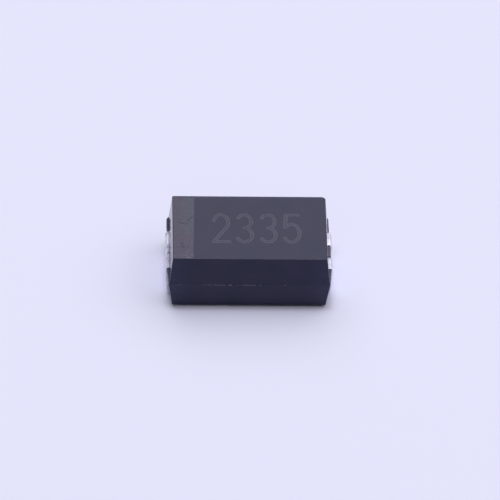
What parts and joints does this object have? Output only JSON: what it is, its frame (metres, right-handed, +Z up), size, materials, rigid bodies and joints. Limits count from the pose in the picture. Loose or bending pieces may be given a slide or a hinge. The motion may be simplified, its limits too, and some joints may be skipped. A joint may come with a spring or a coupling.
{
  "type": "tantalum capacitor",
  "caption": "Moulded surface-mount tantalum capacitor with folded end terminals, a polarity band on top, and its pellet, wire and cradle inside.",
  "frame": {"origin": "middle of the seating plane, under the two feet", "axes": "+X towards the cathode end with the forked terminal, -X towards the anode end with the polarity band, +Z up to the marked face"},
  "size_m": [0.0072, 0.0044, 0.0028],
  "materials": {
    "case_epoxy": "filled epoxy moulding, faint sheen",
    "terminal_tin": "dull tin plating on nickel-iron strip",
    "tantalum_wire": "drawn tantalum, blue grey",
    "washer_white": "pressed fluoropolymer",
    "sintered_tantalum": "porous sintered powder",
    "manganese_dioxide": "dull black fired coat",
    "graphite": "dark dipped coat",
    "silver_paint": "brushed-on silver paint",
    "silver_adhesive": "cured silver-filled adhesive"
  },
  "bodies": {
    "root": {"moulded_case": "case_epoxy", "anode_terminal": "terminal_tin", "cathode_terminal": "terminal_tin", "tantalum_wire": "tantalum_wire", "insulating_washer": "washer_white", "sintered_pellet": "sintered_tantalum", "manganese_dioxide_coat": "manganese_dioxide", "graphite_coat": "graphite", "silver_coat": "silver_paint", "silver_adhesive": "silver_adhesive"}
  },
  "joints": []
}
